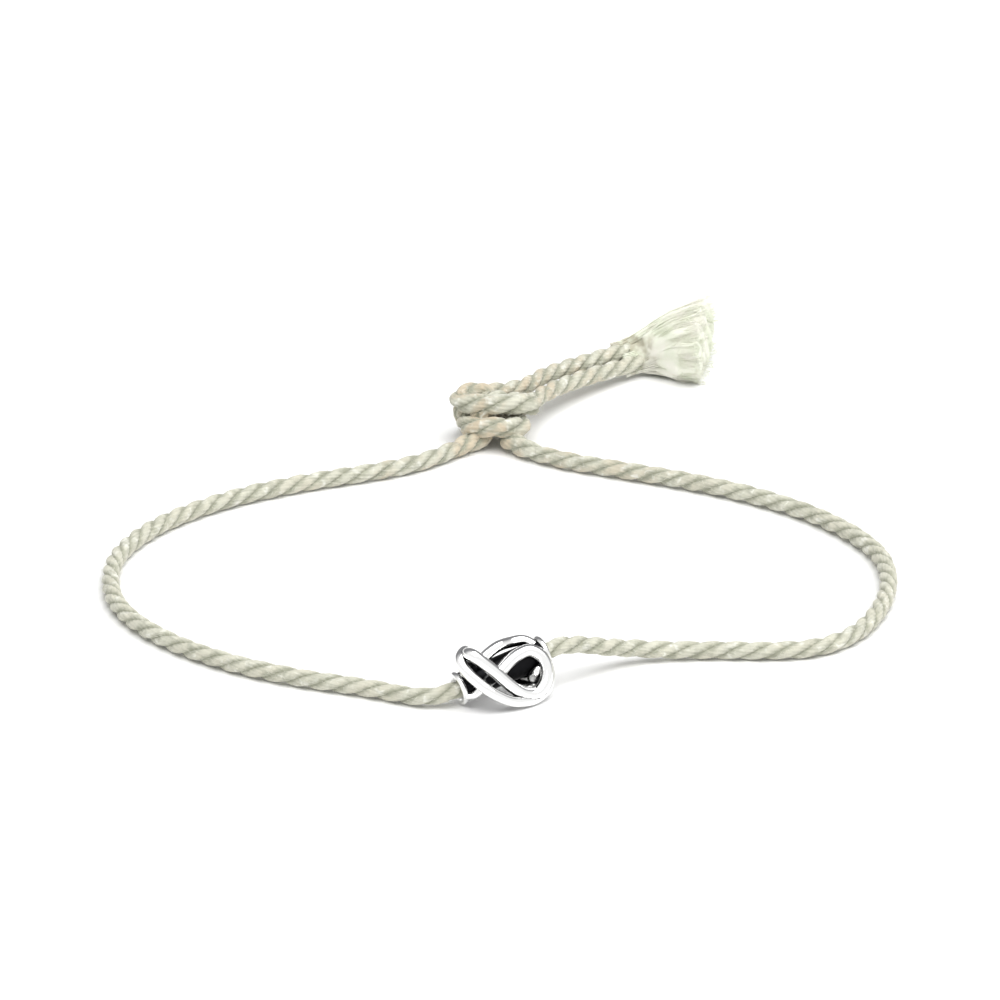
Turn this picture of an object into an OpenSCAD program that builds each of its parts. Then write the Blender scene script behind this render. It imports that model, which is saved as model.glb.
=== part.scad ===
// Friendship bracelet: one loop of twisted cord, a cast love knot threaded on its front, and the
// two cord ends tied together behind in an overhand knot, with two tails that end in a frayed
// tassel. It lies on the plane z = 0 and is in millimetres. The origin is the middle of the loop,
// where the wrist goes, +Y points to the overhand knot and +Z points up.

/* [Cord] */
// Thickness of the twisted cord
cord_d = 1.6; // [1.45:0.05:1.65]
// Gap between two pieces that meet
seat_gap = 0.06; // [0.04:0.01:0.1]

/* [Love knot charm] */
// Thickness of the inner wire
inner_wire_d = 1.05; // [1.0:0.05:1.25]
// Thickness of the outer wire
outer_wire_d = 0.9; // [0.84:0.02:1.0]
// Clearance round the cord in the sleeve
bore_clearance = 0.12; // [0.08:0.01:0.2]
// Wall of the sleeve
sleeve_wall = 0.28; // [0.22:0.02:0.34]
// Length of the sleeve that the cord runs through
sleeve_l = 8.1; // [7.8:0.1:8.3]
// Turn of the charm on the table, in degrees
charm_yaw = 27; // [24:1:30]
// Rise of its right end, in degrees
charm_rise = 13; // [12:1:15]
// Lean of its face, in degrees
charm_lean = 29; // [24:1:32]

/* [Tassel] */
// Length of the frayed ends past the tails
tassel_l = 6.8; // [6.0:0.1:7.2]
// Distance from the middle of the fray to its outer locks at the cut end
tassel_r = 2.7; // [2.3:0.05:2.8]
// Spread of the fray along the table against its height
tassel_spread = 1.35; // [1.1:0.05:1.4]
// Locks in the outer ring of the fray
outer_locks = 11; // [8:1:12]

/* [Hidden] */
cord_r = cord_d / 2;
cord_sides = 8;
// Distance from the middle of a pair to each of its cords, in cord radii: tails and knot
tail_spread = 1.09;
knot_spread = 1.25;
// A cord is this much thicker in the knot, where its plies open, and grows to it over some points.
knot_swell = 1.2;
swell_run = 4;
// Just wider than the cord, so that a cut reaches no other strand
cut_size = 1.1 * cord_d;
steps = 2;
wire_sides = 10;
knot_sides = 8;
silver = "silver";
cream = "ivory";
cream_shade = "wheat";

// The charm's own frame: x runs along its sleeve to the right, y goes back and z is up its face.
charm_lift = 1.48;
charm_at = [0.03, -22.9, cord_r + charm_lift];
bore_r = cord_r + bore_clearance;
sleeve_r = bore_r + sleeve_wall;
collar_r = 0.25;
collar_sink = 0.05;
// A wire's ends start at this share of its thickness and gain the step at each point.
wire_end = 0.5;
wire_end_step = 0.1;
charm_axis = pointing(charm_yaw, charm_rise);

// Inner wire of the love knot: from the left collar behind the crossing, round the right loop,
// down and across the front, over the upper left and behind to the right collar.
// Columns: along the sleeve, up the face, towards the front.
inner_wire = [
    [-3.9, -0.75, 0.85], [-3.0, -0.95, 1.0], [-1.8, -0.4, 1.4], [-0.45, 0, 1.5], [0.4, 0.35, 1.5],
    [1.35, 0.6, 1.5], [2.4, 0.55, 1.5], [3.1, -0.2, 1.5], [3.15, -1.25, 1.5], [2.6, -2.25, 1.5],
    [1.6, -2.8, 1.55], [0.5, -2.45, 1.8], [-0.4, -1.5, 2.2], [-1.3, -0.05, 2.6], [-2.05, 1.15, 2.8],
    [-2.55, 1.95, 2.75], [-2.65, 2.25, 2.0], [-2.3, 2.2, 0.8], [-1.7, 1.95, -0.4], [-0.2, 0.9, -1.4],
    [0.9, -0.1, -1.5], [1.8, -1.0, -1.15], [2.3, -1.5, -0.2], [2.4, -1.3, 0.8], [3.0, -1.0, 1.0],
    [3.9, -0.9, 0.9]
];
// Outer wire, beside the inner one all the way. The same columns.
outer_wire = [
    [-3.8, 0.8, 0.75], [-2.7, 0.85, 0.9], [-1.7, 1.25, 0.95], [-0.7, 1.65, 1.0], [0.4, 1.85, 0.8],
    [1.6, 1.75, 0.4], [2.7, 1.45, 0.3], [3.4, 0.55, 0.4], [3.7, -0.65, 0.55], [3.4, -1.85, 0.7],
    [2.6, -2.8, 1.0], [1.3, -3.15, 1.4], [0.2, -3.0, 1.8], [-0.85, -2.6, 2.1], [-1.7, -1.95, 2.4],
    [-2.4, -1.15, 2.55], [-2.9, -0.3, 2.5], [-3.35, 0.65, 2.4], [-3.55, 1.55, 2.2], [-3.25, 2.25, 1.8],
    [-2.5, 2.55, 1.1], [-2.05, 2.3, 0.1], [-1.8, 1.7, -0.8], [-1.3, 1.0, -1.4], [-0.4, 0.1, -1.7],
    [0.6, -0.9, -1.6], [1.5, -1.85, -0.95], [2.3, -2.15, -0.1], [3.1, -1.6, 0.0], [3.8, -1.0, -0.45]
];

// Route of the loop. Columns: x, y and the lift of the cord's middle above a cord that lies flat.
left_route = [
    [-3.7, 29.0, 0.05], [-5.3, 27.3, 0], [-7.2, 25.7, 0], [-9.5, 24.4, 0], [-12.4, 23.1, 0],
    [-16.5, 21.3, 0],
    [-21.3, 18.5, 0], [-25.6, 14.8, 0], [-29.0, 10.3, 0], [-31.1, 5.2, 0], [-31.6, 0, 0],
    [-30.9, -5.2, 0], [-28.7, -10.1, 0], [-25.3, -14.4, 0], [-20.9, -18.1, 0], [-16.0, -20.8, 0],
    [-11.9, -22.4, 0], [-9.6, -23.4, 0], [-8.0, -24.2, 0], [-6.8, -24.75, 0.03],
    [-5.65, -25.08, 0.13], [-4.6, -25.08, 0.32]
];
right_route = [
    [5.05, -20.3, 2.58], [6.5, -19.1, 2.15], [8.5, -17.5, 1.3], [10.7, -16.1, 0.6],
    [13.4, -15.3, 0.15], [17.4, -15.0, 0],
    [21.8, -15.1, 0], [25.4, -14.4, 0], [28.3, -11.8, 0], [30.4, -7.2, 0], [31.5, -1.2, 0],
    [31.1, 4.8, 0], [28.9, 10.0, 0], [25.2, 14.9, 0], [20.6, 18.8, 0], [15.6, 21.8, 0],
    [10.4, 24.2, 0], [6.0, 26.2, 0], [3.2, 28.0, 0]
];
// Where the cord stays straight, as shares of the sleeve's half length either side of its middle.
straight_at = [-1.06, -0.7, -0.25, 0.25, 0.7, 1.06];

// Overhand knot in the doubled cord, from where the pair goes under the front wrap. Columns: x, y
// and lift of the pair's middle, then the direction from that middle to the left cord.
pair_route = [
    [-0.3, 31.9, 0.4, -1, 0, 0.1], [-0.25, 33.1, 1.1, -0.9, 0, 0.5],
    [-0.5, 34.2, 1.6, -0.5, -0.2, 0.8], [-1.4, 34.7, 2.0, 0, -0.3, 0.9],
    [-2.4, 34.1, 2.1, -0.1, -0.1, 0.9], [-3.1, 33.0, 1.9, -0.3, 0.05, 0.9],
    [-2.5, 31.8, 1.95, -0.1, 0.5, 0.8], [-1.0, 31.1, 2.15, 0, 0.63, 0.78],
    [0.7, 31.2, 2.1, 0, 0.63, 0.78], [1.8, 31.9, 1.9, 0.1, 0.45, 0.85],
    [2.1, 33.1, 1.5, 0.6, 0.1, 0.8], [1.8, 34.4, 1.0, 0.4, -0.2, 0.9],
    [0.8, 35.1, 0.5, 0.1, -0.7, 0.7], [-0.6, 35.0, 0.1, 0.2, -1, 0.1],
    [-1.9, 34.2, 0.3, 0.5, -0.8, 0], [-2.5, 33.1, 1.2, 0.6, -0.7, -0.3],
    [-2.0, 32.8, 2.2, 0.5, -0.8, -0.1], [-1.0, 33.4, 2.8, 0.5, -0.8, 0.1],
    [0.2, 34.2, 2.6, 0.6, -0.75, -0.1], [1.2, 35.1, 2.25, 0.75, -0.55, -0.3],
    [2.0, 36.1, 2.1, 0.8, -0.45, -0.35]
];
left_lead = [[-1.4, 31.3, 0.2], [-2.4, 30.4, 0.1]];
right_lead = [[1.6, 29.5, 0.05], [0.75, 30.7, 0.2]];
// The two tails as a pair, from the knot to the fray. The same columns.
tail_route = [
    [2.8, 37.5, 1.9, 0.75, -0.45, -0.4], [4.2, 40.0, 1.7, 0.7, -0.45, -0.45],
    [6.3, 43.0, 1.35, 0.7, -0.5, -0.45], [8.8, 45.8, 1.05, 0.7, -0.5, -0.45],
    [11.2, 48.2, 0.9, 0.7, -0.5, -0.5]
];

tassel_at = lifted([11.2, 48.2, 0.9]);
tassel_heading = 5;
tassel_rise = 10;
// The head that gathers the locks: its place along the tassel and its size
head_at = 2;
head_r = 1.9;
// Each lock leaves the middle of the fray here, at this share of its full spread, and so much
// further along at the front, because the tails come in from behind.
lock_start = 1.2;
lock_start_spread = 0.5;
lock_skew = 1.2;
lock_root_r = 0.55;
lock_body_r = 1.15;
lock_body_at = 0.45;
lock_tip_r = 0.85;
// The cut end slants: its outer locks are this much shorter at the front and longer at the top.
cut_short = 1.1;
cut_long = 0.5;
// Rings of locks. Columns: how many, share of the full spread, how much shorter than the tassel.
lock_rings = [[outer_locks, 1, 0.25], [5, 0.42, 0]];

// A smooth curve through all the points, with n steps from each to the next.
function blend(a, b, c, d, t) =
    let (slope = c - a, bend = 2 * a - 5 * b + 4 * c - d, turn = 3 * b - a - 3 * c + d)
    b + (slope * t + bend * t * t + turn * t * t * t) / 2;
function smooth(p, n) = let (m = len(p) - 1) [
    for (i = [0:m - 1]) for (k = [0:n - 1])
        blend(p[max(i - 1, 0)], p[i], p[i + 1], p[min(i + 2, m)], k / n),
    p[m]
];
function unit(v) = v / norm(v);
// Direction turned by yaw on the table and raised by rise, both in degrees.
function pointing(yaw, rise) = [cos(rise) * cos(yaw), cos(rise) * sin(yaw), sin(rise)];
function heading(p, i) = unit(p[min(i + 1, len(p) - 1)] - p[max(i - 1, 0)]);
function lifted(p) = [p.x, p.y, cord_r + p.z];
// One cord of a pair, to the side of its middle by so many cord radii. The side is 1 for the cord
// that comes from the left of the loop and -1 for the other.
function beside(row, offset) =
    [row[0], row[1], cord_r + row[2]] + offset * cord_r * unit([row[3], row[4], row[5]]);
function in_knot(side) = [for (row = pair_route) beside(row, side * knot_spread)];
function in_tails(side) = [for (row = tail_route) beside(row, side * tail_spread)];
function on_floor(p, r) = [p.x, p.y, max(p.z, r)];
function backwards(p) = [for (i = [len(p) - 1:-1:0]) p[i]];
function part_of(p, first, last) = [for (i = [first:last]) p[i]];

// The cord is one length: left tail, knot, loop, knot, right tail. The marks count its points.
cord_points = concat(
    backwards(in_tails(1)),
    backwards(in_knot(1)),
    [for (p = left_lead) lifted(p)],
    [for (p = left_route) lifted(p)],
    [for (s = straight_at) charm_at + s * sleeve_l / 2 * charm_axis],
    [for (p = right_route) lifted(p)],
    [for (p = right_lead) lifted(p)],
    in_knot(-1),
    in_tails(-1)
);
cord_curve = [for (p = smooth(cord_points, steps)) on_floor(p, cord_r)];
tail_mark = steps * len(tail_route);
loop_mark = tail_mark + steps * (len(pair_route) + len(left_lead));
cord_end = len(cord_curve) - 1;

// Tube of one polyhedron along the curve between two of its points, for a stretch that never
// stands upright. Each end stops half the gap short of the piece that it meets.
module tube(first, last) {
    p = cord_curve;
    sides = cord_sides;
    short = [for (i = [first:last]) i == first ? seat_gap / 2 : i == last ? -seat_gap / 2 : 0];
    ring = [for (i = [first:last])
        let (t = heading(p, i), side = unit(cross(t, [0, 0, 1])), up = cross(side, t))
        for (k = [0:sides - 1]) let (a = 360 * (k + 0.5) / sides)
            p[i] + short[i - first] * t + cord_r / cos(180 / sides) * (cos(a) * side + sin(a) * up)];
    n = last - first;
    walls = [for (i = [0:n - 1]) for (k = [0:sides - 1])
        let (a = i * sides + k, b = i * sides + (k + 1) % sides)
        [b, b + sides, a + sides, a]];
    start = [for (k = [0:sides - 1]) sides - 1 - k];
    end = [for (k = [0:sides - 1]) n * sides + k];
    polyhedron(ring, concat(walls, [start, end]));
}

// Fused strand: a chain of round pieces along p, with radius r[i] at point i.
module strand(p, r, sides) {
    for (i = [0:len(p) - 2]) hull() {
        translate(p[i]) sphere(r[i], $fn = sides);
        translate(p[i + 1]) sphere(r[i + 1], $fn = sides);
    }
}

// Block that cuts a strand square at point i of the cord, on the side that way points to.
module beyond(i, way, size) {
    t = way * heading(cord_curve, i);
    translate(cord_curve[i] - seat_gap / 2 * t)
        rotate([0, acos(t.z), atan2(t.y, t.x)])
        translate([-size / 2, -size / 2, 0]) cube(size);
}

module in_charm_frame() {
    translate(charm_at) rotate([0, 0, charm_yaw]) rotate([0, -charm_rise, 0])
        rotate([-charm_lean, 0, 0]) children();
}

module sleeve_solid(r, l) {
    rotate([0, 90, 0]) cylinder(h = l, r = r, center = true, $fn = 24);
}

module collar(side) {
    translate([side * (sleeve_l / 2 - collar_r), 0, 0]) rotate([0, 90, 0])
        rotate_extrude($fn = 24) translate([sleeve_r - collar_sink, 0]) circle(collar_r, $fn = 12);
}

// A wire of the charm thins towards both its ends, where it runs into the collars.
function wire_radii(n, r) = [for (i = [0:n - 1])
    r * min(1, wire_end + wire_end_step * min(i, n - 1 - i))];

module wire(rows, r) {
    p = smooth([for (row = rows) [row[0], -row[2], row[1]]], steps);
    strand(p, wire_radii(len(p), r), wire_sides);
}

module love_knot() {
    color(silver) in_charm_frame() difference() {
        union() {
            sleeve_solid(sleeve_r, sleeve_l);
            for (side = [-1, 1]) collar(side);
            wire(inner_wire, inner_wire_d / 2);
            wire(outer_wire, outer_wire_d / 2);
        }
        sleeve_solid(bore_r, 3 * sleeve_l);
    }
}

module loop_cord() {
    color(cream) tube(loop_mark, cord_end - loop_mark);
}

module back_knot() {
    left = part_of(cord_curve, tail_mark, loop_mark);
    right = part_of(cord_curve, cord_end - loop_mark, cord_end - tail_mark);
    n = len(left);
    radii = [for (i = [0:n - 1])
        cord_r * (1 + (knot_swell - 1) * min(1, min(i, n - 1 - i) / swell_run))];
    color(cream_shade) difference() {
        for (side = [left, right])
            strand([for (i = [0:n - 1]) on_floor(side[i], radii[i])], radii, knot_sides);
        beyond(tail_mark, -1, cut_size);
        beyond(loop_mark, 1, cut_size);
        beyond(cord_end - loop_mark, -1, cut_size);
        beyond(cord_end - tail_mark, 1, cut_size);
    }
}

module tail_upper() {
    color(cream) tube(cord_end - tail_mark, cord_end);
}

module tail_lower() {
    color(cream) tube(0, tail_mark);
}

// One lock of frayed yarn, which thickens from its root and lies on the table where it meets it.
module lock(root, end) {
    middle = root + lock_body_at * (end - root);
    hull() {
        translate(on_floor(root, lock_root_r)) sphere(lock_root_r, $fn = 8);
        translate(on_floor(middle, lock_body_r)) sphere(lock_body_r, $fn = 10);
    }
    hull() {
        translate(on_floor(middle, lock_body_r)) sphere(lock_body_r, $fn = 10);
        translate(on_floor(end, lock_tip_r)) sphere(lock_tip_r, $fn = 8);
    }
}

module tassel() {
    along = pointing(tassel_heading, tassel_rise);
    side = unit(cross(along, [0, 0, 1]));
    up = cross(side, along);
    color(cream_shade) difference() {
        union() {
            hull() {
                for (end = [cord_curve[0], cord_curve[cord_end]])
                    translate(end + cord_r / 2 * along) sphere(cord_r, $fn = 10);
                translate(tassel_at + head_at * along) sphere(head_r, $fn = 12);
            }
            for (ring = lock_rings) for (k = [0:ring[0] - 1]) {
                a = 360 * (k + 0.5) / ring[0];
                spread = ring[1] * tassel_r * (tassel_spread * cos(a) * side + sin(a) * up);
                slant = ring[1] * (cut_long * sin(a) - cut_short * cos(a));
                skew = ring[1] * lock_skew * cos(a);
                lock(tassel_at + (lock_start + skew) * along + lock_start_spread * spread,
                    tassel_at + (tassel_l - ring[2] - lock_tip_r + slant) * along + spread);
            }
        }
        beyond(0, 1, 2 * cut_size);
        beyond(cord_end, -1, 2 * cut_size);
    }
}

love_knot();
loop_cord();
back_knot();
tail_upper();
tail_lower();
tassel();
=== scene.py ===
"""A friendship bracelet of twisted cotton cord with a cast silver love knot on its front.

The two ends of the cord are tied together behind in one overhand knot and end in a frayed tassel.
Every size is in metres, in the frame of the construction model that the pieces are made around.
"""

import math
import random
from dataclasses import dataclass

import bmesh
import bpy
import numpy as np
from mathutils import Matrix, Vector, kdtree, noise
from mathutils.bvhtree import BVHTree


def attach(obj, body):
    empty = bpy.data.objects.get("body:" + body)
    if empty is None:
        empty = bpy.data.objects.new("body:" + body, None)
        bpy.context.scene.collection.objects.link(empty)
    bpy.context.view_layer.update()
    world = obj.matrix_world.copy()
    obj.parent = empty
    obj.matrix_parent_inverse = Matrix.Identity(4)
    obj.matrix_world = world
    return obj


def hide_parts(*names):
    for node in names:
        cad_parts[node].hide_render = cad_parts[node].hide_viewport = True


bl_info = {
    "name": "Friendship bracelet",
    "version": (1, 0, 0),
    "blender": (4, 5, 0),
    "location": "View3D > Sidebar > Bracelet",
    "description": "Knotted cotton cord with a frayed tassel and a cast silver love knot",
    "category": "Object",
}

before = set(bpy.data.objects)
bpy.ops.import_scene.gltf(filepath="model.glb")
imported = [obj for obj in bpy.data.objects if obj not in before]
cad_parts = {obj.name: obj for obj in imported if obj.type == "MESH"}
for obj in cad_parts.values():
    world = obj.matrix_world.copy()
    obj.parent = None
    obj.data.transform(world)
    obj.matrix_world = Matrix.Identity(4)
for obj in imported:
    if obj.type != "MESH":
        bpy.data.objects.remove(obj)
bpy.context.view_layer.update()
MM = 0.001


def metres(rows):
    """Rows of millimetres in metres."""
    return [[value * MM for value in row] for row in rows]


# Route of the loop. Columns: x, y and the lift of the cord's middle above a cord that lies flat.
LEFT_ROUTE = metres([
    [-3.7, 29.0, 0.05], [-5.3, 27.3, 0], [-7.2, 25.7, 0], [-9.5, 24.4, 0], [-12.4, 23.1, 0],
    [-16.5, 21.3, 0],
    [-21.3, 18.5, 0], [-25.6, 14.8, 0], [-29.0, 10.3, 0], [-31.1, 5.2, 0], [-31.6, 0, 0],
    [-30.9, -5.2, 0], [-28.7, -10.1, 0], [-25.3, -14.4, 0], [-20.9, -18.1, 0], [-16.0, -20.8, 0],
    [-11.9, -22.4, 0], [-9.6, -23.4, 0], [-8.0, -24.2, 0], [-6.8, -24.75, 0.03],
    [-5.65, -25.08, 0.13], [-4.6, -25.08, 0.32],
])
RIGHT_ROUTE = metres([
    [5.05, -20.3, 2.58], [6.5, -19.1, 2.15], [8.5, -17.5, 1.3], [10.7, -16.1, 0.6],
    [13.4, -15.3, 0.15], [17.4, -15.0, 0],
    [21.8, -15.1, 0], [25.4, -14.4, 0], [28.3, -11.8, 0], [30.4, -7.2, 0], [31.5, -1.2, 0],
    [31.1, 4.8, 0], [28.9, 10.0, 0], [25.2, 14.9, 0], [20.6, 18.8, 0], [15.6, 21.8, 0],
    [10.4, 24.2, 0], [6.0, 26.2, 0], [3.2, 28.0, 0],
])
# Where the cord stays straight, as shares of the sleeve's half length either side of its middle.
STRAIGHT_AT = (-1.06, -0.7, -0.25, 0.25, 0.7, 1.06)
# Overhand knot in the doubled cord, from where the pair goes under the front wrap. Columns: x, y
# and lift of the pair's middle, then the direction from that middle to the left cord.
PAIR_ROUTE = metres([
    [-0.3, 31.9, 0.4, -1, 0, 0.1], [-0.25, 33.1, 1.1, -0.9, 0, 0.5],
    [-0.5, 34.2, 1.6, -0.5, -0.2, 0.8], [-1.4, 34.7, 2.0, 0, -0.3, 0.9],
    [-2.4, 34.1, 2.1, -0.1, -0.1, 0.9], [-3.1, 33.0, 1.9, -0.3, 0.05, 0.9],
    [-2.5, 31.8, 1.95, -0.1, 0.5, 0.8], [-1.0, 31.1, 2.15, 0, 0.63, 0.78],
    [0.7, 31.2, 2.1, 0, 0.63, 0.78], [1.8, 31.9, 1.9, 0.1, 0.45, 0.85],
    [2.1, 33.1, 1.5, 0.6, 0.1, 0.8], [1.8, 34.4, 1.0, 0.4, -0.2, 0.9],
    [0.8, 35.1, 0.5, 0.1, -0.7, 0.7], [-0.6, 35.0, 0.1, 0.2, -1, 0.1],
    [-1.9, 34.2, 0.3, 0.5, -0.8, 0], [-2.5, 33.1, 1.2, 0.6, -0.7, -0.3],
    [-2.0, 32.8, 2.2, 0.5, -0.8, -0.1], [-1.0, 33.4, 2.8, 0.5, -0.8, 0.1],
    [0.2, 34.2, 2.6, 0.6, -0.75, -0.1], [1.2, 35.1, 2.25, 0.75, -0.55, -0.3],
    [2.0, 36.1, 2.1, 0.8, -0.45, -0.35],
])
LEFT_LEAD = metres([[-1.4, 31.3, 0.2], [-2.4, 30.4, 0.1]])
RIGHT_LEAD = metres([[1.6, 29.5, 0.05], [0.75, 30.7, 0.2]])
# The two tails as a pair, from the knot to the fray. The same columns.
TAIL_ROUTE = metres([
    [2.8, 37.5, 1.9, 0.75, -0.45, -0.4], [4.2, 40.0, 1.7, 0.7, -0.45, -0.45],
    [6.3, 43.0, 1.35, 0.7, -0.5, -0.45], [8.8, 45.8, 1.05, 0.7, -0.5, -0.45],
    [11.2, 48.2, 0.9, 0.7, -0.5, -0.5],
])
KNOT_MIDDLE = (-0.4 * MM, 33.0 * MM, 2.0 * MM)
TASSEL_AT = (11.2 * MM, 48.2 * MM, 0.9 * MM)
STAIN_AT = (11.2 * MM, 48.0 * MM, 2.2 * MM)
# The charm's own frame: x runs along its sleeve to the right, y goes back and z is up its face.
CHARM_AT = (0.03 * MM, -22.9 * MM, 1.48 * MM)
# Inner and outer wire of the love knot. Columns: along the sleeve, up the face, to the front.
INNER_WIRE = metres([
    [-3.9, -0.75, 0.85], [-3.0, -0.95, 1.0], [-1.8, -0.4, 1.4], [-0.45, 0, 1.5], [0.4, 0.35, 1.5],
    [1.35, 0.6, 1.5], [2.4, 0.55, 1.5], [3.1, -0.2, 1.5], [3.15, -1.25, 1.5], [2.6, -2.25, 1.5],
    [1.6, -2.8, 1.55], [0.5, -2.45, 1.8], [-0.4, -1.5, 2.2], [-1.3, -0.05, 2.6], [-2.05, 1.15, 2.8],
    [-2.55, 1.95, 2.75], [-2.65, 2.25, 2.0], [-2.3, 2.2, 0.8], [-1.7, 1.95, -0.4], [-0.2, 0.9, -1.4],
    [0.9, -0.1, -1.5], [1.8, -1.0, -1.15], [2.3, -1.5, -0.2], [2.4, -1.3, 0.8], [3.0, -1.0, 1.0],
    [3.9, -0.9, 0.9],
])
OUTER_WIRE = metres([
    [-3.8, 0.8, 0.75], [-2.7, 0.85, 0.9], [-1.7, 1.25, 0.95], [-0.7, 1.65, 1.0], [0.4, 1.85, 0.8],
    [1.6, 1.75, 0.4], [2.7, 1.45, 0.3], [3.4, 0.55, 0.4], [3.7, -0.65, 0.55], [3.4, -1.85, 0.7],
    [2.6, -2.8, 1.0], [1.3, -3.15, 1.4], [0.2, -3.0, 1.8], [-0.85, -2.6, 2.1], [-1.7, -1.95, 2.4],
    [-2.4, -1.15, 2.55], [-2.9, -0.3, 2.5], [-3.35, 0.65, 2.4], [-3.55, 1.55, 2.2], [-3.25, 2.25, 1.8],
    [-2.5, 2.55, 1.1], [-2.05, 2.3, 0.1], [-1.8, 1.7, -0.8], [-1.3, 1.0, -1.4], [-0.4, 0.1, -1.7],
    [0.6, -0.9, -1.6], [1.5, -1.85, -0.95], [2.3, -2.15, -0.1], [3.1, -1.6, 0.0], [3.8, -1.0, -0.45],
])

# Steps of a smooth curve from one of its points to the next, and spacing of the cord's own points
CURVE_STEPS = 12
PATH_STEP = 0.1 * MM
# Of those points, how many to a ring of the plies, and how many to a point of the loop's route
LOOP_EVERY = 2
KNOT_EVERY = 1
ROUTE_EVERY = 10
# Rounds in which the cord's tightest bends are eased
PATH_RELAX = 12
# Length of cord over which the swell of the knot grows
SWELL_RUN = 2.4 * MM
PLIES = 3
# How far the twist strays from even, in radians, and the length of cord over which it does
TWIST_WAVER = 0.25
WAVER_LENGTH = 7 * MM
# How much a ply swells and thins, and over what length
PLY_SWELL = 0.05
SWELL_LENGTH = 1.6 * MM
TWIST_SEED = 3
SWELL_SEED = 11
# Points across each yarn of a ply, and the depth of the groove between two as a share of the ply
YARN_POINTS = 4
YARN_GROOVE = 0.1
# Distance of a groove's floor from the cord's middle, as a share of the cord's radius
GROOVE_SHARE = 0.62
# Lumps of the yarn
LUMP_HEIGHT = 0.014 * MM
LUMP_SIZE = 0.32 * MM
# Vertices closer than this are one
WELD = 1e-7

# Seeds of the loose fibres on the loop and on the knot with its tails, and of the fray
LOOP_SEED = 21
KNOT_SEED = 22
FRAY_SEED = 7
# A loose fibre: its points, its shortest length, its curl and how it thins, as shares
HAIR_POINTS = 4
HAIR_SHORTEST = 0.25
HAIR_CURL = 0.35
HAIR_THINS = 0.6
# Where it comes out of the cord, as a share of the cord's radius, and how far from a stretch's ends
HAIR_ROOT = 0.9
HAIR_CLEAR = 4
# How much it stands out, leans along the cord and strays round it, against each other
HAIR_OUT = 0.25
HAIR_LEAN = 0.6
HAIR_ROUND = 0.8

# Rings of locks. Columns: how many, share of the full spread, how much shorter than the tassel.
LOCK_RINGS = [[11, 1, 0.25 * MM], [5, 0.42, 0]]
# Where the locks leave the middle of the fray, and how much further along the front ones do
LOCK_START = 1.2 * MM
LOCK_START_SPREAD = 0.5
LOCK_SKEW = 1.2 * MM
# A lock's radius at shares of its length
LOCK_AT = (0, 0.45, 0.85, 1)
LOCK_RADII = (0.55 * MM, 1.15 * MM, 0.95 * MM, 0.8 * MM)
# How much shorter the outer locks are at the front and longer at the top
CUT_SHORT = 1.1 * MM
CUT_LONG = 0.5 * MM
# Where a lock is cut, as a share of its length, how round its end is and how uneven
CUT_AT = 0.97
CUT_ROUND = 0.1
CUT_WAVER = 0.05
# The head that gathers the locks: its place and size, and its strands' size where they leave the tails
HEAD_AT = 2 * MM
HEAD_R = 1.0 * MM
HEAD_START = 0.7
# The body under the fibres: its thickness against the locks, its end, its fineness and its rounds
# of softening, and the rings and sides of the tubes that it is fused from
BODY_THIN = 0.86
BODY_SHARE = 0.93
BODY_VOXEL = 0.12 * MM
BODY_SOFTEN = 6
BODY_RINGS = 7
BODY_SIDES = 12
# How far inside the tails the fibres come loose, and the least share of it
FIBRE_START = 1.4 * MM
FIBRE_START_LEAST = 0.3
# A fibre's points: how far past the tail and then as shares of the lock, and steps between them
FIBRE_PAST_TAIL = 0.1 * MM
FIBRE_AT = (0.12, 0.5, 1)
FIBRE_STEPS = 3
# How far the fibres keep to the outside of their lock, and to their lock's side of the tail
FIBRE_OUTWARD = 0.6
FIBRE_SIDE = 0.75
# Share of a tail's radius that its fibres fill, and the least square of the width there
FIBRE_FILL = 0.95
WIDTH_LEAST = 1e-6
# How far a fibre and a wisp sway, in how many waves, and how unlike their neighbours
FIBRE_SWAY = 0.2 * MM
WISP_SWAY = 0.4 * MM
SWAY_WAVES = 3
SWAY_APART = 9
SWAY_STRAY = 0.8
# A wisp: where on its lock it starts, how far it runs, and how far out it lies on its way
WISP_START = (0.1, 0.85)
WISP_RUN = (0.15, 0.4)
WISP_OUT = (0.9, 1.02)
WISP_END = (1, 1.15)

# The charm's wires: steps between their points, sides, thickness of their ends and its growth
WIRE_STEPS = 10
WIRE_SIDES = 24
WIRE_END = 0.5
WIRE_END_STEP = 0.02
# The sleeve: its sides and the rings of its wall, as shares of its half length
SLEEVE_SIDES = 64
WALL_RINGS = (0.1, 0.3, 0.5, 0.7, 0.86, 0.9)
# The bead round each end: how deep it sits in the wall, its arc in degrees and its points
COLLAR_SINK = 0.05 * MM
BEAD_ARC = (170, -40)
BEAD_POINTS = 12
# Chamfer between the bead and the bore
BORE_EDGE = 0.04 * MM
# Rays that say how shut in a spot of the metal is: how many, how long and how far off it they start
RECESS_RAYS = 40
RECESS_REACH = 1.6 * MM
RECESS_START = 0.01 * MM
# How much darker the sleeve's front is than a wire that is as shut in, and the share of it that is
GROUND_DARK = 0.65
GROUND_SHARE = 0.86

# Twisted cotton. Its patterns: waves a metre, detail and distortion.
PATCH_NOISE = (330.0, 2.0)
MOTTLE_NOISE = (1300.0, 3.0)
HIGHLIGHT_SPECK_NOISE = (1000.0, 2.0, 1.0)
# Its fibres: waves across and along the yarn, and detail
STREAK_SCALE = (60.0, 9.0, 1.0)
STREAK_NOISE = (1.0, 3.0)
# The part of a noise's range that is spread over the whole
SPREAD = (0.3, 0.7)
# Where the warm patches begin and end, and the share of them far from the knot and in it
PATCH_EDGE = (0.42, 0.58)
WARM_REACH = 22 * MM
WARM_HEART = 4 * MM
WARM_SHARES = (0.12, 0.9)
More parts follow.
